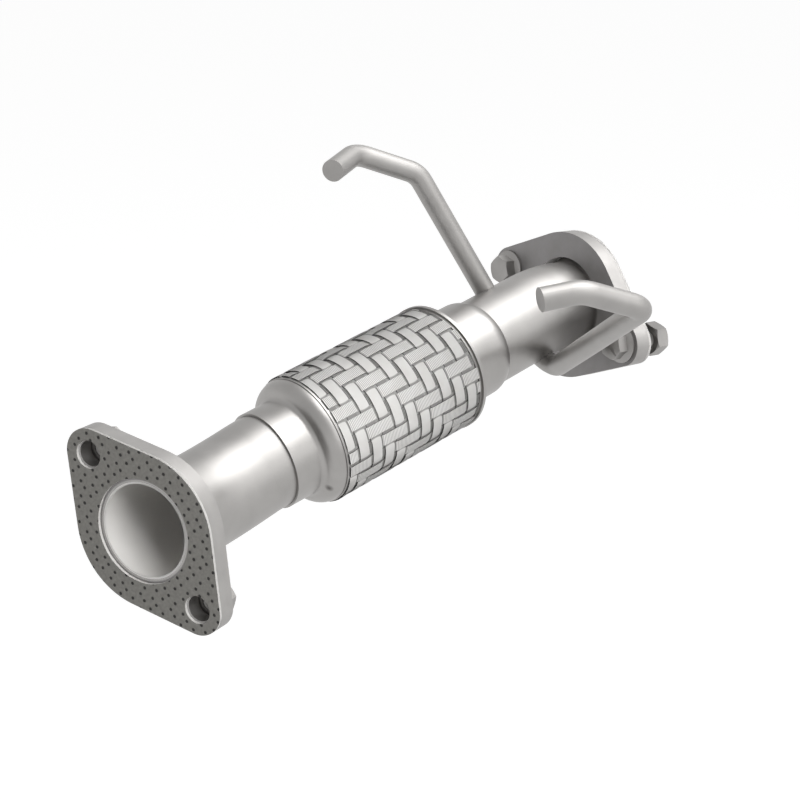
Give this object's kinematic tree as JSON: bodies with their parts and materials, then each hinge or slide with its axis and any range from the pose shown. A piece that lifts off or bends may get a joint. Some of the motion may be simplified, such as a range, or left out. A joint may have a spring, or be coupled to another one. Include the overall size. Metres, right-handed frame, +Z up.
{
  "type": "exhaust front pipe",
  "caption": "Bent exhaust front pipe with a braided flex section, rhombic flanges with gaskets at both ends and bent hanger rods.",
  "frame": {"origin": "centre of the inlet bore on the mating face of the inlet flange", "axes": "+X along the inlet bore into the pipe, +Z up, +Y to the left seen from the inlet; the outlet lies towards +X, -Y and +Z"},
  "size_m": [0.3532, 0.2341, 0.2059],
  "materials": {
    "pipe_steel": "satin stainless sheet and tube",
    "flange_steel": "flat cut steel plate, blasted",
    "braid_steel": "woven bands of fine stainless wire",
    "rod_steel": "drawn steel rod",
    "fastener_steel": "plain zinc-free steel",
    "gasket_facing": "grey graphite facing on a steel core"
  },
  "bodies": {
    "root": {"inlet_flange": "flange_steel", "inlet_pipe": "pipe_steel", "inlet_end_cap": "pipe_steel", "inlet_braid_ring": "pipe_steel", "inlet_support_ring": "pipe_steel", "flex_bellows": "pipe_steel", "flex_liner": "pipe_steel", "flex_braid": "braid_steel", "outlet_support_ring": "pipe_steel", "outlet_braid_ring": "pipe_steel", "outlet_end_cap": "pipe_steel", "outlet_pipe": "pipe_steel", "outlet_flange": "flange_steel", "upper_hanger_rod": "rod_steel", "lower_hanger_rod": "rod_steel", "inlet_gasket": "gasket_facing", "outlet_gasket": "gasket_facing", "outlet_bolts": "fastener_steel", "outlet_nuts": "fastener_steel", "inlet_nuts": "fastener_steel"}
  },
  "joints": []
}
